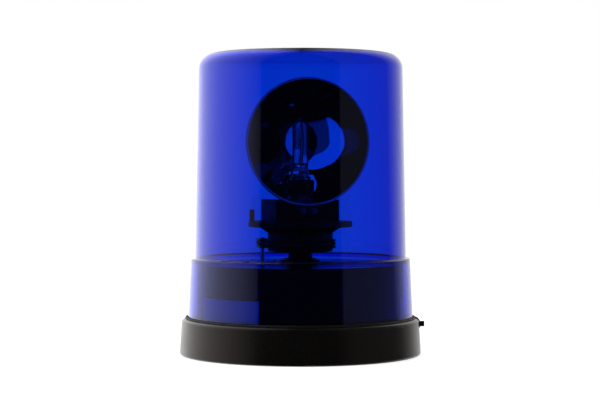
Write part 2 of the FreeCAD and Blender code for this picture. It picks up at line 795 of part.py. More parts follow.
def motor_terminals():
    high = deck_under - motor_long - end_cap_thick
    tabs = [block(terminal_thick, terminal_wide, high - terminal_long, high, x=x)
            for x in pair(terminal_apart)]
    return Part.makeCompound([tab.translated(motor_axis()) for tab in tabs])


def motor_shaft():
    low = deck_under - shaft_in_motor + lift_gap
    return ring_tube(shaft_r, 0, low, groove_z + shaft_above_groove).translated(motor_axis())


def motor_pulley():
    low = groove_z - groove_mouth - rim_thick - small_hub_high
    high = groove_z + groove_mouth + rim_thick
    wheel = grooved(small_belt_r, small_rim_r, small_belt_r, low, high)
    return wheel.cut(ring_tube(shaft_r, 0, low, high)).translated(motor_axis())


def bulb_holder():
    """Socket pushed on the post's top; its open cup takes the bulb's cap."""
    floor_top = journal_top_z + holder_floor
    cup_r = bulb_cap_r + seat_gap
    return turned([
        (journal_r + seat_gap, journal_top_z - holder_foot), (holder_r, journal_top_z - holder_foot),
        (holder_r, cap_seat_z - holder_chamfer), (holder_r - holder_chamfer, cap_seat_z), (cup_r, cap_seat_z),
        (cup_r, floor_top), (post_bore_r, floor_top), (post_bore_r, journal_top_z),
        (journal_r + seat_gap, journal_top_z)])


def bulb_base():
    """Metal flange of the bulb, the cap below it and the collar round its glass."""
    flange = ring_tube(bulb_flange_r, 0, cap_seat_z, flange_z)
    cap = ring_tube(bulb_cap_r, 0, cap_seat_z - bulb_cap_long, cap_seat_z)
    collar = ring_tube(glass_r + bulb_collar_wall, glass_r + seat_gap, flange_z, flange_z + bulb_collar_high)
    return flange.fuse([cap, collar]).removeSplitter()


def bulb_glass():
    """Quartz tube: solid foot, straight wall, rounded top with its seal-off tip."""
    tip_z = light_z + glass_above_light
    top = tip_z - glass_tip_high
    inner_r = glass_r - glass_wall
    foot = flange_z + glass_foot
    return turned([
        (0, flange_z), (glass_r, flange_z), (glass_r, top, glass_round), (glass_tip_r, top),
        (glass_tip_r / 2, tip_z), (0, tip_z), (0, top - glass_wall),
        (inner_r, top - glass_wall, glass_round - glass_wall), (inner_r, foot), (0, foot)])


def bulb_filament():
    """Coil on the axis, with a lead under it and one beside it that bends over to its top."""
    low = light_z - filament_long / 2
    top = light_z + filament_long / 2
    foot = flange_z + glass_foot
    coil = ring_tube(filament_r, 0, low, top)
    side = block(filament_lead, filament_lead, foot, top + filament_lead, x=filament_aside)
    bridge = block(filament_aside, filament_lead, top, top + filament_lead, x=filament_aside / 2)
    return coil.fuse([block(filament_lead, filament_lead, foot, low), side, bridge]).removeSplitter()


def bulb_contact():
    """Blade under the bulb's cap, down inside the post."""
    top = cap_seat_z - bulb_cap_long
    return block(contact_wide, contact_thick, top - contact_long, top)


def bulb_clip():
    """Spring wire over the bulb's flange, an open loop."""
    centre = V(bulb_flange_r - spring_wire_r, 0, flange_z + spring_wire_r)
    disc = Part.Face(Part.Wire(Part.makeCircle(spring_wire_r, centre, V(0, 1, 0))))
    return turned_by(disc.revolve(ORIGIN, UP, spring_turn), 90 + (360 - spring_turn) / 2)


def suppression_choke():
    """Wound rod choke lying on the plate."""
    coil_r = choke_r + choke_wire
    centre = V(*choke_at, plate_thick + coil_r)
    half = V(choke_long / 2, 0, 0)
    end = V(choke_end, 0, 0)
    core = rod(choke_r, centre - half - end, centre + half + end)
    return core.fuse(rod(coil_r, centre - half, centre + half))


def suppression_capacitor():
    wide, deep, high = capacitor_size
    box = block(wide, deep, plate_thick, plate_thick + high, *capacitor_at)
    return box.makeChamfer(capacitor_round, box.Edges)


def terminal_block():
    """Screw terminals for the supply cable, on the plate beside the inlet."""
    wide, deep, high = terminal_block_size
    top = plate_thick + high
    pitch = wide / terminal_ways
    entry_z = plate_thick + high / 3
    cuts = []
    for k in range(terminal_ways):
        x = pitch * (k + 0.5) - wide / 2
        cuts.append(ring_tube(terminal_hole_r, 0, top - terminal_hole_deep, top).translated(V(x, 0, 0)))
        cuts.append(rod(wire_hole_r, V(x, -deep / 2, entry_z), V(x, wire_hole_deep - deep / 2, entry_z)))
        if k:
            cuts.append(block(terminal_groove, deep, top - terminal_groove_deep, top, x=pitch * k - wide / 2))
    return block(wide, deep, plate_thick, top).cut(cuts).translated(V(*terminal_block_at, 0))


pieces = [
    base_ring, base_housing, bottom_plate, mounting_inserts, bottom_screws, cable_grommet, lens_seal,
    rating_label, centre_post, post_screws, thrust_washer, retaining_ring, lower_bush, upper_bush,
    drive_pulley, reflector_carrier, balance_weight, weight_screws, reflector, reflector_screws,
    drive_belt, motor_can, motor_end_cap, motor_terminals, motor_screws, motor_shaft, motor_pulley,
    bulb_holder, bulb_base, bulb_glass, bulb_filament, bulb_contact, bulb_clip, suppression_choke,
    suppression_capacitor, terminal_block, lens, lens_lock_screw]

os.makedirs("parts", exist_ok=True)
for piece in pieces:
    piece().exportStep("parts/" + piece.__name__ + ".step")
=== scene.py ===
import math
import bmesh
import bpy
from mathutils import Matrix, Vector


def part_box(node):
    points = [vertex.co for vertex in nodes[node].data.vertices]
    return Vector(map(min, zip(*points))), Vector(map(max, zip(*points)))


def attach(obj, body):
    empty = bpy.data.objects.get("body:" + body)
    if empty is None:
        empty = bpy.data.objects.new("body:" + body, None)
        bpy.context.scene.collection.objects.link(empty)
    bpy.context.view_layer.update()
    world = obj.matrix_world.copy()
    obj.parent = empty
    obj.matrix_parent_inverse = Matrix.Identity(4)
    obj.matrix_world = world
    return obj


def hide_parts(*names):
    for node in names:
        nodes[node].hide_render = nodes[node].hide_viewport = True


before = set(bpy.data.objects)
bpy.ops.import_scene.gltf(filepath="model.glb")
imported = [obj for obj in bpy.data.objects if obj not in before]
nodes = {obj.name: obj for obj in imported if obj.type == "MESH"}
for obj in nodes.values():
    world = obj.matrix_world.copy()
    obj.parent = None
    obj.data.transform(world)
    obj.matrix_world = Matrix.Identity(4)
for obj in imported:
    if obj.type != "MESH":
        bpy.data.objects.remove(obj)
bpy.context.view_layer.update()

mm = 0.001


def hexColour(code):
    # sRGB hex to the linear values that sockets take
    parts = [int(code[k:k + 2], 16) / 255 for k in (0, 2, 4)]
    return tuple(c / 12.92 if c <= 0.04045 else ((c + 0.055) / 1.055) ** 2.4 for c in parts) + (1.0,)


def perMetre(sizeMm):
    # texture scale that gives a pattern of this real size
    return 1000 / sizeMm


def addNode(tree, kind, inputs=None, **settings):
    node = tree.nodes.new(kind)
    for name, value in settings.items():
        setattr(node, name, value)
    for key, value in (inputs or {}).items():
        if isinstance(value, bpy.types.NodeSocket):
            tree.links.new(value, node.inputs[key])
        else:
            node.inputs[key].default_value = value
    return node


def topOf(node):
    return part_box(node)[1].z / mm


def footOf(node):
    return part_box(node)[0].z / mm


def rightOf(direction):
    return Vector((direction.y, -direction.x))


def roundedOutline(corners, arcSteps=6):
    # corners are (radius, height) or (radius, height, rounding) in mm, inside on the left;
    # gives (point, normal), with no normal where the outline has an edge
    points = []
    for k, corner in enumerate(corners):
        here = Vector(corner[:2])
        back = (Vector(corners[k - 1][:2]) - here).normalized()
        on = (Vector(corners[(k + 1) % len(corners)][:2]) - here).normalized()
        if len(corner) < 3:
            gentle = back.angle(on) > math.radians(177)
            points.append((here, rightOf(on - back).normalized() if gentle else None))
            continue
        half = back.angle(on) / 2
        reach = corner[2] / math.tan(half)
        centre = here + (back + on).normalized() * corner[2] / math.sin(half)
        first = (here + back * reach - centre) / corner[2]
        last = (here + on * reach - centre) / corner[2]
        bulge = 1 if first.dot(rightOf(-back)) > 0 else -1
        turn = first.angle(last)
        side = 1 if first.x * last.y - first.y * last.x > 0 else -1
        for step in range(arcSteps + 1):
            angle = side * turn * step / arcSteps
            out = Matrix.Rotation(angle, 2) @ first
            points.append((centre + out * corner[2], out * bulge))
    return points


def latheMesh(name, outline, segments):
    # turns a closed outline of (point, normal) round +Z, with its own exact normals
    count = len(outline)
    vertices, index = [], {}
    for ring in range(segments):
        angle = math.radians(360.0 * ring / segments)
        for k, (point, normal) in enumerate(outline):
            if point.x < 1e-6 and ring:
                index[ring, k] = index[0, k]
                continue
            index[ring, k] = len(vertices)
            vertices.append((point.x * math.cos(angle) * mm, point.x * math.sin(angle) * mm, point.y * mm))
    faces, loops = [], []
    for ring in range(segments):
        after = (ring + 1) % segments
        turns = [math.radians(360.0 * r / segments) for r in (ring, ring + 1)]
        for k in range(count):
            m = (k + 1) % count
            flat = rightOf((outline[m][0] - outline[k][0]).normalized())
            face = []
            for r, turn, p in ((ring, 0, k), (after, 1, k), (after, 1, m), (ring, 0, m)):
                if index[r, p] in [f[0] for f in face]:
                    continue
                n = outline[p][1] if outline[p][1] is not None else flat
                a = turns[turn]
                face.append((index[r, p], (n.x * math.cos(a), n.x * math.sin(a), n.y)))
            if len(face) > 2:
                faces.append([f[0] for f in face])
                loops += [f[1] for f in face]
    mesh = bpy.data.meshes.new(name)
    mesh.from_pydata(vertices, [], faces)
    for polygon in mesh.polygons:
        polygon.use_smooth = True
    mesh.normals_split_custom_set(loops)
    return mesh


def tubeMesh(name, path, radius, sides):
    # round wire along a path in mm, flat ends
    points = [Vector(p) for p in path]
    frameUp = Vector((0.3, 0.2, 1)).normalized()
    build = bmesh.new()
    rings = []
    for k, point in enumerate(points):
        before = points[k - 1] if k else point
        after = points[k + 1] if k + 1 < len(points) else point
        along = (after - before).normalized()
        frameUp = (frameUp - along * frameUp.dot(along)).normalized()
        across = along.cross(frameUp)
        rings.append([build.verts.new((point + (frameUp * math.cos(a) + across * math.sin(a)) * radius) * mm)
                      for a in [2 * math.pi * s / sides for s in range(sides)]])
    for one, two in zip(rings, rings[1:]):
        for s in range(sides):
            t = (s + 1) % sides
            build.faces.new((one[s], one[t], two[t], two[s])).smooth = True
    build.faces.new(rings[0][::-1])
    build.faces.new(rings[-1])
    bmesh.ops.recalc_face_normals(build, faces=build.faces)
    mesh = bpy.data.meshes.new(name)
    build.to_mesh(mesh)
    build.free()
    mesh.set_sharp_from_angle(angle=math.radians(50))
    return mesh


def joinMeshes(name, parts):
    # several (mesh, matrix) in one mesh
    build = bmesh.new()
    for mesh, place in parts:
        copy = mesh.copy()
        copy.transform(place)
        build.from_mesh(copy)
        bpy.data.meshes.remove(copy)
    joined = bpy.data.meshes.new(name)
    build.to_mesh(joined)
    build.free()
    return joined


def cutMesh(mesh, cutter):
    # mesh less cutter, both closed
    body = bpy.data.objects.new("cutBody", mesh)
    tool = bpy.data.objects.new("cutTool", cutter)
    for thing in (body, tool):
        bpy.context.scene.collection.objects.link(thing)
    cut = body.modifiers.new("cut", "BOOLEAN")
    cut.operation = "DIFFERENCE"
    cut.solver = "EXACT"
    cut.object = tool
    bpy.context.view_layer.update()
    result = bpy.data.meshes.new_from_object(body.evaluated_get(bpy.context.evaluated_depsgraph_get()))
    for thing in (body, tool):
        bpy.data.objects.remove(thing)
    return result


def addPiece(name, mesh, materials, body, replaced=()):
    mesh.name = name
    piece = bpy.data.objects.new(name, mesh)
    bpy.context.scene.collection.objects.link(piece)
    mesh.materials.clear()
    for material in materials:
        mesh.materials.append(material)
    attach(piece, body)
    if replaced:
        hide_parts(*replaced)


def startMaterial(name, colour, roughness, metallic=0.0, ior=None):
    material = bpy.data.materials.new(name)
    material.use_nodes = True
    shader = material.node_tree.nodes["Principled BSDF"]
    shader.inputs["Base Color"].default_value = hexColour(colour)
    shader.inputs["Roughness"].default_value = roughness
    shader.inputs["Metallic"].default_value = metallic
    if ior:
        shader.inputs["IOR"].default_value = ior
    return material, material.node_tree, shader


def moulded(name, colour, colourWorn, roughness, grainMm, grainDepth, patchMm=18.0, spread=0.06,
            specular=0.5, specularTint="FFFFFF"):
    # injection-moulded plastic: fine tool grain, and gloss that drifts slightly from patch to patch
    material, tree, shader = startMaterial(name, colour, roughness, ior=1.5)
    shader.inputs["Specular IOR Level"].default_value = specular
    shader.inputs["Specular Tint"].default_value = hexColour(specularTint)
    place = addNode(tree, "ShaderNodeTexCoord").outputs["Object"]
    patches = addNode(tree, "ShaderNodeTexNoise", {"Vector": place, "Scale": perMetre(patchMm), "Detail": 4.0})
    grain = addNode(tree, "ShaderNodeTexNoise", {"Vector": place, "Scale": perMetre(grainMm), "Detail": 2.0})
    mix = addNode(tree, "ShaderNodeMixRGB", {"Fac": patches.outputs["Fac"], "Color1": hexColour(colour),
                                             "Color2": hexColour(colourWorn)})
    tree.links.new(mix.outputs["Color"], shader.inputs["Base Color"])
    rough = addNode(tree, "ShaderNodeMapRange", {"Value": patches.outputs["Fac"], "From Min": 0.3, "From Max": 0.7,
                                                 "To Min": max(roughness - spread, 0.01),
                                                 "To Max": roughness + spread})
    tree.links.new(rough.outputs["Result"], shader.inputs["Roughness"])
    bump = addNode(tree, "ShaderNodeBump", {"Height": grain.outputs["Fac"], "Strength": 1.0,
                                            "Distance": grainDepth * mm})
    tree.links.new(bump.outputs["Normal"], shader.inputs["Normal"])
    return material


# black ABS ring, spark-eroded mould: soft satin, warm black
ringAbs = moulded("satinAbsRing", "0C0B0B", "100F0E", 0.27, 0.5, 0.004, spread=0.04, specularTint="FFF1EB")
# black ABS housing, polished mould: deep gloss that mirrors the light through the lens
housingAbs = moulded("polishedAbsHousing", "060607", "0A0A0B", 0.14, 7.0, 0.004, spread=0.04, specular=0.15)
# black ABS plate under the base, coarse mould texture
plateAbs = moulded("texturedAbsPlate", "171717", "1F1E1D", 0.55, 0.9, 0.02)
# glass-filled polyamide of the moving parts: black, slightly mottled by the fibres at its skin
glassFilledNylon = moulded("glassFilledPolyamide", "08080A", "0F0F10", 0.5, 0.6, 0.008, patchMm=6.0,
                           specular=0.12)
# phenolic lamp socket, compression moulded: brown-black, dull
phenolicSocket = moulded("phenolicSocket", "0F0B09", "17110E", 0.55, 0.8, 0.01, patchMm=4.0, specular=0.15)
# nylon cap of the motor: milky, soft sheen
nylonCap = moulded("nylonMotorCap", "DCD8CC", "D2CDBF", 0.45, 1.0, 0.006)
# grey polyamide terminal block
terminalNylon = moulded("greyTerminalNylon", "8F9291", "A0A3A1", 0.48, 0.8, 0.008)
# yellow film capacitor in its epoxy-filled box
capacitorBox = moulded("capacitorBox", "C9A21E", "B98F16", 0.35, 1.2, 0.006)
# PTFE washer, punched from sheet
ptfeWasher = moulded("ptfeWasher", "E6E5DF", "DAD8D0", 0.5, 0.7, 0.006)
# EPDM seal and grommet, moulded: matt, greyer in patches
epdmSeal = moulded("epdmSeal", "0D0D0D", "191919", 0.62, 0.4, 0.02, patchMm=9.0)
# black stove enamel on the reflector's foot: thin, slightly orange-peeled
footEnamel = moulded("blackStoveEnamel", "0A0A0B", "101011", 0.4, 1.6, 0.012, patchMm=5.0, specular=0.2)
# neoprene belt, extruded and ground: matt black
neopreneBelt = moulded("neopreneBelt", "0E0E0E", "1C1C1B", 0.7, 0.35, 0.03, patchMm=3.0)


def metal(name, colour, colourWorn, roughness, grainMm, stretch=(1, 1, 1), patchMm=5.0, spread=0.08,
          grainDepth=0.004):
    # metal whose grain may run along one direction, as turned, drawn or rolled metal's does
    material, tree, shader = startMaterial(name, colour, roughness, metallic=1.0)
    place = addNode(tree, "ShaderNodeTexCoord").outputs["Object"]
    stretched = addNode(tree, "ShaderNodeMapping", {"Vector": place, "Scale": stretch})
    patches = addNode(tree, "ShaderNodeTexNoise", {"Vector": place, "Scale": perMetre(patchMm), "Detail": 5.0})
    grain = addNode(tree, "ShaderNodeTexNoise", {"Vector": stretched.outputs["Vector"],
                                                 "Scale": perMetre(grainMm), "Detail": 3.0})
    mix = addNode(tree, "ShaderNodeMixRGB", {"Fac": patches.outputs["Fac"], "Color1": hexColour(colour),
                                             "Color2": hexColour(colourWorn)})
    tree.links.new(mix.outputs["Color"], shader.inputs["Base Color"])
    rough = addNode(tree, "ShaderNodeMapRange", {"Value": grain.outputs["Fac"], "From Min": 0.25, "From Max": 0.75,
                                                 "To Min": max(roughness - spread, 0.02),
                                                 "To Max": roughness + spread})
    tree.links.new(rough.outputs["Result"], shader.inputs["Roughness"])
    bump = addNode(tree, "ShaderNodeBump", {"Height": grain.outputs["Fac"], "Strength": 1.0,
                                            "Distance": grainDepth * mm})
    tree.links.new(bump.outputs["Normal"], shader.inputs["Normal"])
    return material


# zinc-plated steel screws: pale, faintly yellow where the passivation is thick
zincSteel = metal("zincPlatedSteel", "C9CBCC", "BFBCA8", 0.3, 0.4)
# steel screws dipped in black passivate: dark, with a soft grey gloss and a faint mottle
blackZinc = metal("blackPassivatedZinc", "5A5C60", "45474A", 0.34, 0.5)
# sawn steel weight, plated: cut lines run along its length
weightSteel = metal("sawnSteelWeight", "8E9092", "7C7D7E", 0.4, 0.5, stretch=(0.1, 1, 1))
# sintered bronze bush: open grain, oily
sinteredBronze = metal("sinteredBronze", "B07A45", "8B5E36", 0.45, 0.25, grainDepth=0.02)
# turned brass: inserts, pulley and contact
turnedBrass = metal("turnedBrass", "D2AE62", "C09A4E", 0.26, 0.3, stretch=(1, 1, 6))
# drawn and zinc-plated steel can
drawnCan = metal("drawnSteelCan", "B4B6B7", "A2A4A4", 0.32, 0.5, stretch=(6, 6, 0.4))
# blackened spring steel: clip, spring wire and lock screw
springSteel = metal("blackenedSpringSteel", "3C3B3B", "4A4744", 0.36, 0.4)
# nickel-plated brass cap of the bulb
nickelCap = metal("nickelPlatedCap", "8C887E", "7A766E", 0.3, 0.6)
# tungsten wire, drawn: dark grey
tungstenWire = metal("drawnTungsten", "6E6C69", "5B5957", 0.35, 0.1)
# pressed aluminium, outside of the mirror: satin, with the grain of the sheet
pressedAluminium = metal("pressedAluminium", "A9AAAC", "98999B", 0.24, 0.7, stretch=(1, 5, 5))


def mirrorFilm():
    # aluminium evaporated on the pressed bowl: a clear mirror with the faint waves of the pressing
    settings = {"colour": "C8CCD0", "roughness": 0.03, "waveMm": 9.0, "waveDepth": 0.035, "hazeMm": 2.0,
                "clearest": 0.01, "haziest": 0.07}
    material, tree, shader = startMaterial("evaporatedAluminiumMirror", settings["colour"],
                                           settings["roughness"], metallic=1.0)
    place = addNode(tree, "ShaderNodeTexCoord").outputs["Object"]
    waves = addNode(tree, "ShaderNodeTexNoise", {"Vector": place, "Scale": perMetre(settings["waveMm"]),
                                                 "Detail": 1.0})
    haze = addNode(tree, "ShaderNodeTexNoise", {"Vector": place, "Scale": perMetre(settings["hazeMm"]),
                                                "Detail": 5.0})
    rough = addNode(tree, "ShaderNodeMapRange", {"Value": haze.outputs["Fac"], "From Min": 0.4, "From Max": 0.8,
                                                 "To Min": settings["clearest"], "To Max": settings["haziest"]})
    bump = addNode(tree, "ShaderNodeBump", {"Height": waves.outputs["Fac"], "Strength": 1.0,
                                            "Distance": settings["waveDepth"] * mm})
    tree.links.new(rough.outputs["Result"], shader.inputs["Roughness"])
    tree.links.new(bump.outputs["Normal"], shader.inputs["Normal"])
    return material


def bluePolycarbonate():
    # transparent blue polycarbonate, moulded in a polished tool: clear, with barely seen flow waves;
    # the dye is in the wall, so edges and thick places look deeper
    settings = {"dye": "43C6F8", "density": 1380.0, "ior": 1.58, "waveMm": 30.0,
                "waveDepth": 0.02}
    material, tree, shader = startMaterial("blueMouldedPolycarbonate", "FFFFFF", 0.0, ior=settings["ior"])
    shader.inputs["Transmission Weight"].default_value = 1.0
    dye = addNode(tree, "ShaderNodeVolumeAbsorption", {"Color": hexColour(settings["dye"]),
                                                       "Density": settings["density"]})
    tree.links.new(dye.outputs["Volume"], tree.nodes["Material Output"].inputs["Volume"])
    place = addNode(tree, "ShaderNodeTexCoord").outputs["Object"]
    waves = addNode(tree, "ShaderNodeTexNoise", {"Vector": place, "Scale": perMetre(settings["waveMm"]),
                                                 "Detail": 1.0})
    bump = addNode(tree, "ShaderNodeBump", {"Height": waves.outputs["Fac"], "Strength": 1.0,
                                            "Distance": settings["waveDepth"] * mm})
    tree.links.new(bump.outputs["Normal"], shader.inputs["Normal"])
    return material


def quartzGlass():
    # fused quartz tube: water clear, drawn lines along it
    settings = {"lineMm": 3.0, "lineDepth": 0.02, "drawnOut": 0.15}
    material, tree, shader = startMaterial("fusedQuartz", "FAFCFF", 0.0, ior=1.46)
    shader.inputs["Transmission Weight"].default_value = 1.0
    place = addNode(tree, "ShaderNodeTexCoord").outputs["Object"]
    drawn = addNode(tree, "ShaderNodeMapping", {"Vector": place, "Scale": (1, 1, settings["drawnOut"])})
    lines = addNode(tree, "ShaderNodeTexNoise", {"Vector": drawn.outputs["Vector"],
                                                 "Scale": perMetre(settings["lineMm"])})
    bump = addNode(tree, "ShaderNodeBump", {"Height": lines.outputs["Fac"], "Strength": 1.0,
                                            "Distance": settings["lineDepth"] * mm})
    tree.links.new(bump.outputs["Normal"], shader.inputs["Normal"])
    return material


def windingLacquer():
    # lacquered copper winding on the ferrite rod, with painted shade in the grooves between the turns; one band
    # stands for about three turns, coarser than the wire
    settings = {"bandMm": 4.73741, "distortion": 0.2, "bandDepth": 0.3}
    bandScale = perMetre(settings["bandMm"]) * 2 * math.pi / 20  # the wave's phase is 20 times its place
    material, tree, shader = startMaterial("lacqueredWinding", "7A3A16", 0.3, ior=1.5)
    place = addNode(tree, "ShaderNodeTexCoord").outputs["Object"]
    turns = addNode(tree, "ShaderNodeTexWave", {"Vector": place, "Scale": bandScale,
                                                "Distortion": settings["distortion"]}, bands_direction="X")
    # painted shade: the darker colour sits where the bump dips, in the grooves between the turns
    grooveShadeMix = addNode(tree, "ShaderNodeMixRGB", {"Fac": turns.outputs["Fac"], "Color1": hexColour("4A1F0A"),
                                              "Color2": hexColour("A8521F")})
    bump = addNode(tree, "ShaderNodeBump", {"Height": turns.outputs["Fac"], "Strength": 1.0,
                                            "Distance": settings["bandDepth"] * mm})
    tree.links.new(grooveShadeMix.outputs["Color"], shader.inputs["Base Color"])
    tree.links.new(bump.outputs["Normal"], shader.inputs["Normal"])
    return material


def labelFilm():
    # white polyester film, bare: satin, with a faint fibre pattern of its adhesive showing through
    settings = {"fibreMm": 1.5, "fibreDepth": 0.01}
    material, tree, shader = startMaterial("whitePolyesterLabel", "C9CDD2", 0.35)
    place = addNode(tree, "ShaderNodeTexCoord").outputs["Object"]
    fibres = addNode(tree, "ShaderNodeTexNoise", {"Vector": place, "Scale": perMetre(settings["fibreMm"]),
                                                  "Detail": 6.0})
    mix = addNode(tree, "ShaderNodeMixRGB", {"Fac": fibres.outputs["Fac"], "Color1": hexColour("BFC4CA"),
                                             "Color2": hexColour("D5D8DC")})
    bump = addNode(tree, "ShaderNodeBump", {"Height": fibres.outputs["Fac"], "Strength": 1.0,
                                            "Distance": settings["fibreDepth"] * mm})
    tree.links.new(mix.outputs["Color"], shader.inputs["Base Color"])
    tree.links.new(bump.outputs["Normal"], shader.inputs["Normal"])
    return material


mirror = mirrorFilm()
lensBlue = bluePolycarbonate()
quartz = quartzGlass()
winding = windingLacquer()
label = labelFilm()

nodeMaterials = {
    "base_ring": ringAbs, "base_housing": housingAbs, "bottom_plate": plateAbs, "mounting_inserts": turnedBrass,
    "bottom_screws": zincSteel, "cable_grommet": epdmSeal, "lens_seal": epdmSeal, "rating_label": label,
    "centre_post": glassFilledNylon, "post_screws": zincSteel, "thrust_washer": ptfeWasher,
    "retaining_ring": springSteel, "lower_bush": sinteredBronze, "upper_bush": sinteredBronze,
    "drive_pulley": glassFilledNylon, "reflector_carrier": glassFilledNylon, "balance_weight": weightSteel,
    "weight_screws": zincSteel, "reflector": pressedAluminium, "reflector_screws": zincSteel,
    "drive_belt": neopreneBelt, "motor_can": drawnCan, "motor_end_cap": nylonCap, "motor_terminals": turnedBrass,
    "motor_screws": zincSteel, "motor_shaft": zincSteel, "motor_pulley": turnedBrass,
    "bulb_holder": phenolicSocket, "bulb_base": nickelCap, "bulb_glass": quartz, "bulb_filament": tungstenWire,
    "bulb_contact": turnedBrass, "bulb_clip": springSteel, "suppression_choke": winding,
    "suppression_capacitor": capacitorBox, "terminal_block": terminalNylon, "lens": lensBlue,
    "lens_lock_screw": springSteel}
for name, material in nodeMaterials.items():
    nodes[name].material_slots[0].material = material
print("materials made")


lensSizes = {"collarR": 77.85, "collarTopR": 75.95, "skirtHigh": 13.0, "stepZ": 66.8, "stepRound": 1.5,
             "domeFootR": 73.1, "innerRound": 0.8, "draft": 2.6, "cornerR": 10.5, "crownR": 1900.0,
             "wall": 2.8, "edgeRound": 0.6, "crownSteps": 9, "segments": 288}


def lensMesh():
    # one wall from the foot of the collar to the crown, with the crown's slight doming
    s = lensSizes
    foot, top = footOf("lens"), topOf("lens")
    skirtZ = foot + s["skirtHigh"]

    def wallR(z):
        return s["domeFootR"] - s["draft"] * (z - s["stepZ"]) / (top - s["stepZ"])

    def crown(inset):
        # points on the crown from its edge to the axis; the first is where wall and crown would meet
        edge = wallR(top) - inset
        radii = [edge * (1 - k / s["crownSteps"]) for k in range(s["crownSteps"] + 1)]
        return [(r, top - inset - r * r / (2 * s["crownR"])) for r in radii]

    wall = s["wall"]
    outside, inside = crown(0), crown(wall)
    under = s["stepZ"] - wall
    corners = [(s["collarR"] - wall, foot), (s["collarR"], foot, s["edgeRound"]), (s["collarR"], skirtZ),
               (s["collarTopR"], s["stepZ"], s["stepRound"]), (s["domeFootR"], s["stepZ"], s["innerRound"]),
               (*outside[0], s["cornerR"])]
    corners += [p for p in outside[1:] if p[0] < outside[0][0] - s["cornerR"]]
    corners += [p for p in inside[:0:-1] if p[0] < outside[0][0] - s["cornerR"]]
    corners += [(*inside[0], s["cornerR"] - wall), (wallR(under) - wall, under),
                (s["collarTopR"] - wall, under, s["edgeRound"]), (s["collarR"] - wall, skirtZ)]
    return latheMesh("lensDome", roundedOutline(corners, arcSteps=10), s["segments"])


addPiece("lensDome", lensMesh(), [lensBlue], "lens_unit", ["lens"])
print("lens made")


mirrorSizes = {"mouthR": 42.8, "lipR": 44.3, "rimAhead": 19.5, "wall": 1.2, "rimThick": 1.2,
               "rimUnderRound": 0.35, "rimRound": 0.5, "mouthRound": 0.25, "flareOut": 0.5,
               "bossR": 5.0, "bossDeep": 1.6, "bossRound": 0.5, "bossJoin": 0.1,
               "footWidth": 18.0, "footHigh": 7.1, "footRound": 3.0, "footUnderRim": 1.5, "footClear": 0.6,
               "holderHole": 11.2, "glassHole": 8.05, "holeAboveFlange": 2.2, "bulbCollar": 3.0,
               "silverWithin": 0.12, "silverFacing": 0.2, "silverEdge": 0.1, "skinFacing": 0.985,
               "turn": 17.0, "screwApart": 8.6, "screwHole": 1.4, "steps": 56, "segments": 224}
lightZ = topOf("reflector") - mirrorSizes["lipR"]
focal = (math.hypot(mirrorSizes["rimAhead"], mirrorSizes["mouthR"]) - mirrorSizes["rimAhead"]) / 2
mirrorDepth = mirrorSizes["mouthR"] ** 2 / (4 * focal)
flangeZ = topOf("bulb_base") - mirrorSizes["bulbCollar"]


def aimed():
    # rest turn of the rotor about its axis
    return Matrix.Rotation(math.radians(mirrorSizes["turn"]), 4, "Z")


def mirrorPlace():
    # from the bowl's own frame, where it opens along +Z, to its place on the rotor
    place = Matrix.Translation(Vector((0, focal, lightZ)) * mm)
    return aimed() @ place @ Matrix.Rotation(math.pi / 2, 4, "X")


def boxMesh(name, low, high):
    build = bmesh.new()
    bmesh.ops.create_cube(build, size=1.0)
    low, high = Vector(low) * mm, Vector(high) * mm
    for vertex in build.verts:
        vertex.co = Vector([low[i] + (vertex.co[i] + 0.5) * (high[i] - low[i]) for i in range(3)])
    mesh = bpy.data.meshes.new(name)
    build.to_mesh(mesh)
    build.free()
    return mesh


def cylinderMesh(name, radius, low, high, segments=96):
    return latheMesh(name, roundedOutline([(0, low), (radius, low), (radius, high), (0, high)]), segments)


def mirrorMesh():
    # bowl with its rim and the boss behind it, cut out round the bulb's holder and glass
    s = mirrorSizes
    radii = [s["mouthR"] * k / s["steps"] for k in range(s["steps"] + 1)]
    inner = [(r, r * r / (4 * focal)) for r in radii]
    # the skin's outside, moved out along the normal
    outer = []
    for r, z in inner:
        lean = math.atan(r / (2 * focal))
        outer.append((r + s["wall"] * math.sin(lean), z - s["wall"] * math.cos(lean)))
    boss = -s["wall"] - s["bossDeep"]
    rimLow = mirrorDepth - s["rimThick"]
    corners = [(0, boss), (s["bossR"], boss, s["bossRound"]), (s["bossR"], s["bossJoin"] - s["wall"])]
    corners += [p for p in outer if s["bossR"] < p[0] < s["mouthR"] and p[1] < rimLow - 0.05]
    corners += [(corners[-1][0] + s["flareOut"], rimLow), (s["lipR"], rimLow, s["rimUnderRound"]),
                (s["lipR"], mirrorDepth, s["rimRound"]), (s["mouthR"], mirrorDepth, s["mouthRound"])]
    corners += inner[-2::-1]
    bowl = latheMesh("bowl", roundedOutline(corners, arcSteps=4), s["segments"])
    bowl.transform(mirrorPlace())
    footLow = footOf("reflector")
    # the two cutters start below the bowl, at different heights so that their ends don't coincide
    cuts = [cylinderMesh("holderCut", s["holderHole"], footLow - 5, flangeZ + s["holeAboveFlange"]),
            cylinderMesh("glassCut", s["glassHole"], footLow - 4, lightZ)]
    for cut in cuts:
        bowl = cutMesh(bowl, cut)
    return bowl


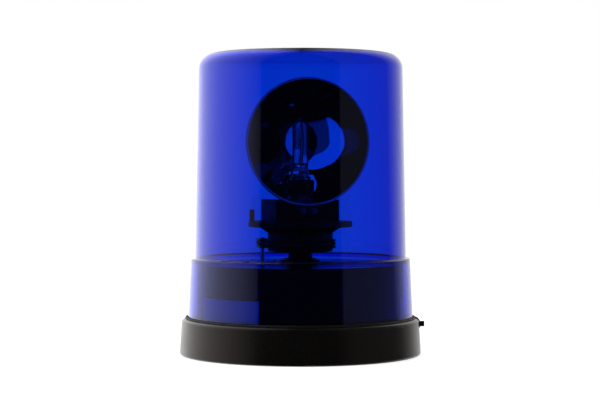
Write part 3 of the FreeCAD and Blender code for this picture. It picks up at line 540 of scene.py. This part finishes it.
def shadeBowl(mesh):
    # exact normals on both skins of the bowl, and which faces are silvered
    s = mirrorSizes
    back = mirrorPlace().inverted()
    turned = mirrorPlace().to_3x3()
    normals = []
    for polygon in mesh.polygons:
        polygon.use_smooth = True
        centre = back @ polygon.center / mm
        r = math.hypot(centre.x, centre.y)
        sag = centre.z - r * r / (4 * focal)
        facing = (back.to_3x3() @ polygon.normal)
        silvered = abs(sag) < s["silverWithin"] and facing.z > s["silverFacing"] and r < s["mouthR"] - s["silverEdge"]
        polygon.material_index = 0 if silvered else 1
        for loop in polygon.loop_indices:
            point = back @ mesh.vertices[mesh.loops[loop].vertex_index].co / mm
            pr = math.hypot(point.x, point.y)
            parabolic = Vector((-point.x, -point.y, 2 * focal)).normalized()
            if silvered:
                normals.append(turned @ parabolic)
            elif facing.dot(parabolic) < -s["skinFacing"] and pr > s["bossR"]:
                normals.append(turned @ -parabolic)
            else:
                normals.append(polygon.normal.copy())
    mesh.normals_split_custom_set(normals)
    return mesh


addPiece("mirrorBowl", shadeBowl(mirrorMesh()), [mirror, pressedAluminium], "rotor", ["reflector"])


def mirrorFootMesh():
    # tongue under the rim with rounded corners and two screw holes
    s = mirrorSizes
    low, half = footOf("reflector"), s["footWidth"] / 2
    high = lightZ - s["mouthR"] + s["footUnderRim"]
    outline = roundedOutline([(-half, low, s["footRound"]), (half, low, s["footRound"]), (half, high), (-half, high)])
    build = bmesh.new()
    front = [build.verts.new((p.x * mm, -s["rimAhead"] * mm, p.y * mm)) for p, n in outline]
    face = build.faces.new(front)
    moved = bmesh.ops.extrude_face_region(build, geom=[face])["geom"]
    bmesh.ops.translate(build, vec=(0, s["rimThick"] * mm, 0),
                        verts=[g for g in moved if isinstance(g, bmesh.types.BMVert)])
    bmesh.ops.recalc_face_normals(build, faces=build.faces)
    mesh = bpy.data.meshes.new("foot")
    build.to_mesh(mesh)
    build.free()
    screwZ, aside = low + s["footHigh"] / 2, s["screwApart"] / 2
    for x, z, radius, segments in ((0, lightZ, s["mouthR"] + s["footClear"], 192),
                                   (-aside, screwZ, s["screwHole"], 32), (aside, screwZ, s["screwHole"], 32)):
        cutter = cylinderMesh("cutter", radius, -5, 5, segments)
        cutter.transform(Matrix.Translation(Vector((x, -s["rimAhead"], z)) * mm)
                         @ Matrix.Rotation(math.pi / 2, 4, "X"))
        mesh = cutMesh(mesh, cutter)
    mesh.transform(aimed())
    mesh.set_sharp_from_angle(angle=math.radians(35))
    return mesh


addPiece("mirrorFoot", mirrorFootMesh(), [footEnamel], "rotor")
print("mirror made")


bulbSizes = {"glassR": 5.5, "wall": 0.9, "aboveLight": 17.2, "tipR": 1.3, "tipHigh": 2.2, "topRound": 4.0,
             "foot": 9.0, "footRound": 1.5, "tipTaper": 0.6, "coilR": 0.75, "coilLong": 5.0, "turns": 11,
             "stepsPerTurn": 16, "wire": 0.13, "lead": 0.3, "aside": 1.65}


def glassMesh():
    # tube with a drawn tip and a solid foot
    s = bulbSizes
    tip, top = lightZ + s["aboveLight"], lightZ + s["aboveLight"] - s["tipHigh"]
    inner, foot = s["glassR"] - s["wall"], flangeZ + s["foot"]
    return latheMesh("bulbQuartz", roundedOutline([
        (0, flangeZ), (s["glassR"], flangeZ), (s["glassR"], top, s["topRound"]), (s["tipR"], top, 0.6),
        (s["tipR"] * s["tipTaper"], tip, 0.5), (0, tip), (0, top - s["wall"]),
        (inner, top - s["wall"], s["topRound"] - s["wall"]), (inner, foot, s["footRound"]),
        (0, foot)], arcSteps=8), 96)


def filamentMesh():
    # coil upright on the axis, and its two leads from the glass foot
    s = bulbSizes
    low, high = lightZ - s["coilLong"] / 2, lightZ + s["coilLong"] / 2
    perTurn = s["stepsPerTurn"]
    steps = s["turns"] * perTurn
    radius = s["coilR"] - s["wire"]
    coil = [(radius * math.cos(2 * math.pi * k / perTurn), radius * math.sin(2 * math.pi * k / perTurn),
             low + (high - low) * k / steps) for k in range(steps + 1)]
    foot = flangeZ + s["foot"]
    lead, aside = s["lead"], s["aside"]
    under = [(0, 0, foot), (0, 0, low - 0.6), (radius * 0.6, 0, low - 0.1), (radius, 0, low + 0.1)]
    over = [(aside, 0, foot), (aside, 0, high - 0.4), (aside - 0.2, 0, high + 0.1), (aside - 0.6, 0, high + 0.3),
            (radius, 0, high)]
    still = Matrix.Identity(4)
    return joinMeshes("bulbCoil", [(tubeMesh("coil", coil, s["wire"], 8), still),
                                   (tubeMesh("under", under, lead, 10), still),
                                   (tubeMesh("over", over, lead, 10), still)])


addPiece("bulbQuartz", glassMesh(), [quartz], "base", ["bulb_glass"])
addPiece("bulbCoil", filamentMesh(), [tungstenWire], "base", ["bulb_filament"])
print("bulb made")


screwSizes = {"mirrorFront": (2.4, 1.4, 1.3, 7.0), "mirrorBack": (2.4, 1.4, 1.3, 5.0),
              "deck": (2.2, 1.5, 1.25, 5.0),  # head radius and height, shank radius and length
              "recessLong": 0.62, "recessWide": 0.13, "recessDeep": 0.62, "recessTurn": 20,
              "postCount": 3, "postCircle": 11.15, "postFoot": 2.5, "motorApart": 17.0, "backArm": 4.0}


def screwMesh(headR, headHigh, shankR, shankLong):
    # pan head standing on z = 0 with a cross recess, shank below
    s = screwSizes
    rounding = min(headHigh * 0.7, headR * 0.6)
    head = latheMesh("head", roundedOutline([
        (0, -shankLong), (shankR, -shankLong, 0.2), (shankR, 0), (headR, 0), (headR, headHigh, rounding),
        (0, headHigh)], arcSteps=5), 48)
    arm, half, deep = headR * s["recessLong"], headR * s["recessWide"], headHigh * s["recessDeep"]
    for turn in (0, 90):
        slot = boxMesh("slot", (-arm, -half, headHigh - deep), (arm, half, headHigh + 1))
        slot.transform(Matrix.Rotation(math.radians(turn + s["recessTurn"]), 4, "Z"))
        head = cutMesh(head, slot)
    for polygon in head.polygons:
        polygon.use_smooth = True
    head.set_sharp_from_angle(angle=math.radians(32))
    return head


def placeScrews(name, mesh, places, node):
    joined = joinMeshes(name, [(mesh, facing((0, 0, 1), place)) for place in places])
    joined.set_sharp_from_angle(angle=math.radians(32))
    addPiece(name, joined, [zincSteel], "base", [node])


def facing(direction, at):
    # matrix that stands +Z along direction at a point in mm
    return Matrix.Translation(Vector(at) * mm) @ Vector(direction).to_track_quat("Z", "Y").to_matrix().to_4x4()


def ringOf(count, radius, z, first=90):
    turns = [math.radians(first + 360 / count * k) for k in range(count)]
    return [(radius * math.cos(t), radius * math.sin(t), z) for t in turns]


def mirrorScrewsMesh():
    # two screws through the foot into the cradle, one through the arm into the bowl's boss
    s = mirrorSizes
    frontScrew, backScrew = screwMesh(*screwSizes["mirrorFront"]), screwMesh(*screwSizes["mirrorBack"])
    screwZ, aside = footOf("reflector") + s["footHigh"] / 2, s["screwApart"] / 2
    backY = focal + s["wall"] + s["bossDeep"] + screwSizes["backArm"]
    parts = [(frontScrew, aimed() @ facing((0, -1, 0), (x, -s["rimAhead"], screwZ))) for x in (-aside, aside)]
    parts.append((backScrew, aimed() @ facing((0, 1, 0), (0, backY, lightZ))))
    return joinMeshes("mirrorScrews", parts)


addPiece("mirrorScrews", mirrorScrewsMesh(), [blackZinc], "rotor", ["reflector_screws"])
deckTop = topOf("base_housing")
deckScrew = screwMesh(*screwSizes["deck"])
placeScrews("postScrews", deckScrew,
            ringOf(screwSizes["postCount"], screwSizes["postCircle"], deckTop + screwSizes["postFoot"]),
            "post_screws")
motorX, motorY = [(low + high) / 2 / mm for low, high in list(zip(*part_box("motor_shaft")))[:2]]
motorAside = screwSizes["motorApart"] / 2
placeScrews("motorScrews", deckScrew, [(motorX + x, motorY, deckTop) for x in (-motorAside, motorAside)],
            "motor_screws")
print("screws made")


# angles in degrees, turned from the front or raised from level; glows are radiances, where 1 is white
studioSizes = {"floorHalf": 6.0, "floorGlow": 0.7, "floorDrop": 0.0002, "paper": "F2F2F2", "ambient": 0.35,
               "leftGlow": 1.65, "rightGlow": 0.8, "lampTurn": 87, "lampHalf": 38, "lampAway": 1.0, "lampHigh": 1.3,
               "cardHalf": 44.0, "cardHalfDeep": 75.0, "cardHigh": 73.0, "cardHighInside": 36.0,
               "cardGlow": 0.008, "cardGlowInside": 0.3, "leftLow": 0.1, "leftBack": 146.0,
               "rightLow": 0.09, "rightHigh": 1.0, "rightFrom": 112.0, "rightBack": 152.0,
               "panelsTo": 140.0, "ceilingFrom": 12.0, "ceiling": 0.12, "stripHalf": 0.25,
               "cameraAt": (-0.00024, -1.193, 0.1267), "focalPx": 1720.0, "pitchPx": 30.0, "framePx": 600,
               "sensorMm": 36}


def studioWorld():
    # plain white straight on and through glass; a reflection sees a room instead: a black card in front,
    # grey walls that brighten towards the back, and a dark strip overhead
    world = bpy.data.worlds.new("studio")
    bpy.context.scene.world = world
    world.use_nodes = True
    tree = world.node_tree
    background = tree.nodes["Background"]
    background.inputs["Color"].default_value = hexColour("FFFFFF")
    direction = addNode(tree, "ShaderNodeSeparateXYZ",
                        {"Vector": addNode(tree, "ShaderNodeTexCoord").outputs["Generated"]})
    path = addNode(tree, "ShaderNodeLightPath")
    angles = ("cardHalf", "cardHalfDeep", "cardHigh", "cardHighInside", "leftBack", "rightFrom", "rightBack",
              "panelsTo", "ceilingFrom")
    made = {**studioSizes, **{name: math.radians(studioSizes[name]) for name in angles}}
    made.update({axis.lower(): direction.outputs[axis] for axis in "XYZ"})
    made.update({name: path.outputs[name] for name in ("Is Camera Ray", "Is Transmission Ray", "Glossy Depth",
                                                       "Transmission Depth")})
    # each step: its name, a Math operation or another node, and its inputs, by name or as numbers
    steps = (
        ("forward", "MULTIPLY", "y", -1.0), ("azimuth", "ARCTAN2", "x", "forward"),
        ("turned", "ABSOLUTE", "azimuth"), ("elevation", "ARCSINE", "z"),
        # counts are whole, so each test stands halfway; inside the lens a ray sees pale side panels, and
        # another card: wider after a second reflection, and lower and paler before it
        ("reflected", "GREATER_THAN", "Glossy Depth", 0.5), ("again", "GREATER_THAN", "Glossy Depth", 1.5),
        ("inside", "GREATER_THAN", "Transmission Depth", 2.5), ("twice", "MULTIPLY", "inside", "again"),
        ("once", "SUBTRACT", "inside", "twice"),
        # the card: an arch in front
        ("half", "Mix", "twice", "cardHalf", "cardHalfDeep"),
        ("high", "Mix", "once", "cardHigh", "cardHighInside"),
        ("share", "DIVIDE", "turned", "half"), ("squared", "MULTIPLY", "share", "share"),
        ("rest", "SUBTRACT", 1.0, "squared"), ("restUp", "MAXIMUM", "rest", 0.0), ("root", "SQRT", "restUp"),
        ("arch", "MULTIPLY", "high", "root"), ("within", "LESS_THAN", "share", 1.0),
        ("below", "LESS_THAN", "elevation", "arch"), ("card", "MULTIPLY", "within", "below"),
        ("cardShade", "Mix", "once", "cardGlow", "cardGlowInside"),
        # the walls, and the dark strip overhead
        ("left", "MapRange", "turned", "cardHalf", "leftBack", "leftLow", "leftGlow"),
        ("right", "MapRange", "turned", "rightFrom", "rightBack", "rightLow", "rightHigh"),
        ("onRight", "GREATER_THAN", "x", 0.0), ("wall", "Mix", "onRight", "left", "right"),
        ("aside", "ABSOLUTE", "x"), ("strip", "MapRange", "aside", 0.0, "stripHalf", "ceiling", 1.0),
        ("overhead", "GREATER_THAN", "elevation", "ceilingFrom"), ("shade", "Mix", "overhead", 1.0, "strip"),
        ("outside", "MULTIPLY", "wall", "shade"),
        # the panels inside, and what each kind of ray gets
        ("sideways", "LESS_THAN", "turned", "panelsTo"), ("panels", "Mix", "sideways", 1.0, "leftGlow"),
        ("room", "Mix", "inside", "outside", "panels"), ("mirrored", "Mix", "card", "room", "cardShade"),
        ("seen", "MAXIMUM", "Is Camera Ray", "Is Transmission Ray"), ("plain", "MAXIMUM", "seen", "ambient"),
        ("strength", "Mix", "reflected", "plain", "mirrored"))
    sockets = {"Mix": ("Factor", "A", "B"), "MapRange": ("Value", "From Min", "From Max", "To Min", "To Max")}
    for name, kind, *inputs in steps:
        values = [made.get(value, value) for value in inputs]
        if kind in sockets:
            made[name] = addNode(tree, "ShaderNode" + kind, dict(zip(sockets[kind], values))).outputs["Result"]
        else:
            made[name] = addNode(tree, "ShaderNodeMath", dict(enumerate(values)), operation=kind).outputs[0]
    tree.links.new(made["strength"], background.inputs["Strength"])


def softbox(name, side, radiance):
    # large soft lamp facing the axis from one side; power follows from the radiance it should show
    sizes = studioSizes
    distance, height = sizes["lampAway"], sizes["lampHigh"]
    width = 2 * distance * math.tan(math.radians(sizes["lampHalf"]))
    lamp = bpy.data.lights.new(name, "AREA")
    lamp.shape = "RECTANGLE"
    lamp.size, lamp.size_y = width, height
    lamp.energy = radiance * math.pi * width * height
    thing = bpy.data.objects.new(name, lamp)
    bpy.context.scene.collection.objects.link(thing)
    a = math.radians(side * sizes["lampTurn"])
    thing.location = (distance * math.sin(a), -distance * math.cos(a), height / 2)
    thing.rotation_euler = Vector((-math.sin(a), math.cos(a), 0)).to_track_quat("-Z", "Y").to_euler()
    thing.visible_camera = False
    thing.visible_glossy = False
    thing.visible_transmission = False


def studioFloor():
    # white paper that takes the shadow, and glows for the camera only, so that it stays white beside it;
    # plain white through glass, and seen past a reflection it lets the room show instead
    half = studioSizes["floorHalf"]
    mesh = bpy.data.meshes.new("floor")
    mesh.from_pydata([(-half, -half, 0), (half, -half, 0), (half, half, 0), (-half, half, 0)], [], [(0, 1, 2, 3)])
    floor = bpy.data.objects.new("floor", mesh)
    bpy.context.scene.collection.objects.link(floor)
    material = bpy.data.materials.new("whitePaper")
    material.use_nodes = True
    tree = material.node_tree
    tree.nodes.clear()
    path = addNode(tree, "ShaderNodeLightPath")
    paper = addNode(tree, "ShaderNodeBsdfDiffuse", {"Color": hexColour(studioSizes["paper"])})
    glow = addNode(tree, "ShaderNodeMath", {0: path.outputs["Is Camera Ray"], 1: studioSizes["floorGlow"]},
                   operation="MULTIPLY")
    light = addNode(tree, "ShaderNodeEmission", {"Color": hexColour("FFFFFF"), "Strength": glow.outputs[0]})
    lit = addNode(tree, "ShaderNodeAddShader", {0: paper.outputs[0], 1: light.outputs[0]})
    white = addNode(tree, "ShaderNodeEmission", {"Color": hexColour("FFFFFF"), "Strength": 1.0})
    both = addNode(tree, "ShaderNodeMixShader", {0: path.outputs["Is Transmission Ray"], 1: lit.outputs[0],
                                                 2: white.outputs[0]})
    reflected = addNode(tree, "ShaderNodeMath", {0: path.outputs["Glossy Depth"], 1: 0.5},
                        operation="GREATER_THAN")
    clear = addNode(tree, "ShaderNodeBsdfTransparent", {"Color": hexColour("FFFFFF")})
    mixed = addNode(tree, "ShaderNodeMixShader", {0: reflected.outputs[0], 1: both.outputs[0],
                                                  2: clear.outputs[0]})
    addNode(tree, "ShaderNodeOutputMaterial", {"Surface": mixed.outputs[0]})
    mesh.materials.append(material)
    floor.location.z = -studioSizes["floorDrop"]  # the base's flat face and the paper don't coincide
    floor.visible_glossy = False


studioWorld()
studioFloor()
softbox("softboxLeft", -1, studioSizes["leftGlow"])
softbox("softboxRight", 1, studioSizes["rightGlow"])

camera = bpy.data.objects.new("camera", bpy.data.cameras.new("camera"))
bpy.context.scene.collection.objects.link(camera)
camera.data.sensor_width = studioSizes["sensorMm"]
camera.data.lens = studioSizes["sensorMm"] * studioSizes["focalPx"] / studioSizes["framePx"]
camera.data.clip_start = 0.05
camera.location = studioSizes["cameraAt"]
camera.rotation_euler = (math.pi / 2 - math.atan(studioSizes["pitchPx"] / studioSizes["focalPx"]), 0, 0)
bpy.context.scene.camera = camera
bpy.context.scene.view_settings.view_transform = "Standard"
print("studio set")
